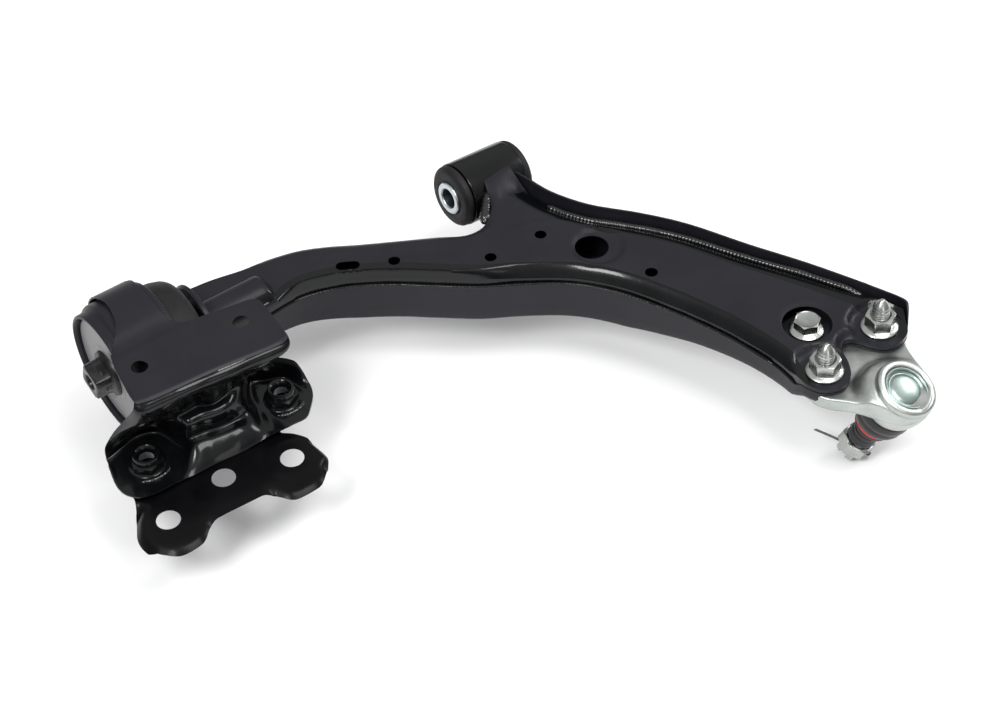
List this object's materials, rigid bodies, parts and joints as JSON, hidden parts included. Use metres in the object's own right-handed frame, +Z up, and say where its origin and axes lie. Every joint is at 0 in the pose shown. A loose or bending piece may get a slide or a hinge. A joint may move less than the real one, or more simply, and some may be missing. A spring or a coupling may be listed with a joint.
{
  "type": "front lower control arm",
  "caption": "Stamped and welded front lower control arm with a bracketed rear bush, a front eye bush and a bolted-on ball joint with castle nut and cotter pin.",
  "frame": {"origin": "centre of the front bush's steel sleeve", "axes": "+X along the hinge line from the rear bush to the front bush, +Z up, the ball joint hangs at -Y"},
  "size_m": [0.494, 0.4019, 0.126],
  "materials": {
    "arm_paint": "satin black",
    "weld_paint": "gloss black over weld",
    "zinc": "zinc plated",
    "housing_zinc": "zinc plated forging",
    "pin_steel": "machined",
    "sleeve_steel": "machined, bright",
    "bush_rubber": "matt",
    "boot_rubber": "soft sheen",
    "ring_red": "soft sheen",
    "cover_grey": "satin grey",
    "seat_plastic": "moulded"
  },
  "bodies": {
    "bracket": {"bracket_upper": "arm_paint", "bracket_lower": "arm_paint", "bracket_weld_nuts": "arm_paint", "rear_bush_shell": "arm_paint", "rear_bush_rubber": "bush_rubber", "rear_bush_cover": "cover_grey"},
    "arm": {"arm_upper_shell": "arm_paint", "arm_lower_shell": "arm_paint", "weld_near": "weld_paint", "weld_far": "weld_paint", "weld_eye": "weld_paint", "front_eye_tube": "arm_paint", "front_bush_rubber": "bush_rubber", "rear_pin": "pin_steel", "rear_pin_flange": "arm_paint", "rear_bush_sleeve": "pin_steel", "ball_housing": "housing_zinc", "ball_cap": "housing_zinc", "ball_seat": "seat_plastic", "housing_studs": "zinc", "stud_nuts": "zinc", "middle_bolt": "zinc", "boot_upper": "boot_rubber"},
    "front_sleeve": {"front_bush_sleeve": "sleeve_steel"},
    "boot_mid": {"boot_waist": "boot_rubber"},
    "boot_end": {"boot_ring": "ring_red", "boot_lower": "boot_rubber"},
    "stud": {"ball_stud": "zinc", "castle_nut": "zinc", "cotter_pin": "zinc"}
  },
  "joints": [
    {"name": "arm_swing", "type": "hinge", "parent": "bracket", "child": "arm", "pos_m": [0, 0, 0], "axis": [1, 0, 0], "range_deg": [-15, 15], "stiffness_Nm_per_rad": 170, "springref_deg": -1.49},
    {"name": "sleeve_turn", "type": "hinge", "parent": "arm", "child": "front_sleeve", "pos_m": [0, 0, 0], "axis": [0.9961, 0.0242, -0.0844], "range_deg": [-15, 15]},
    {"name": "ball_tilt_a", "type": "hinge", "parent": "arm", "child": "boot_mid", "pos_m": [0.09105, -0.32817, -0.00867], "axis": [0.9854, 0.0647, -0.1572], "range_deg": [-15, 15], "deforming": ["boot_upper"]},
    {"name": "ball_tilt_b", "type": "hinge", "parent": "boot_mid", "child": "boot_end", "pos_m": [0.09105, -0.32817, -0.00867], "axis": [0, 0.9247, 0.3806], "range_deg": [-15, 15], "deforming": ["boot_waist"]},
    {"name": "stud_spin", "type": "hinge", "parent": "boot_end", "child": "stud", "pos_m": [0.09105, -0.32817, -0.00867], "axis": [-0.17, 0.3751, -0.9113], "continuous": true}
  ],
  "couplings": [
    {"joint": "sleeve_turn", "follows": "arm_swing", "ratio": -1}
  ]
}
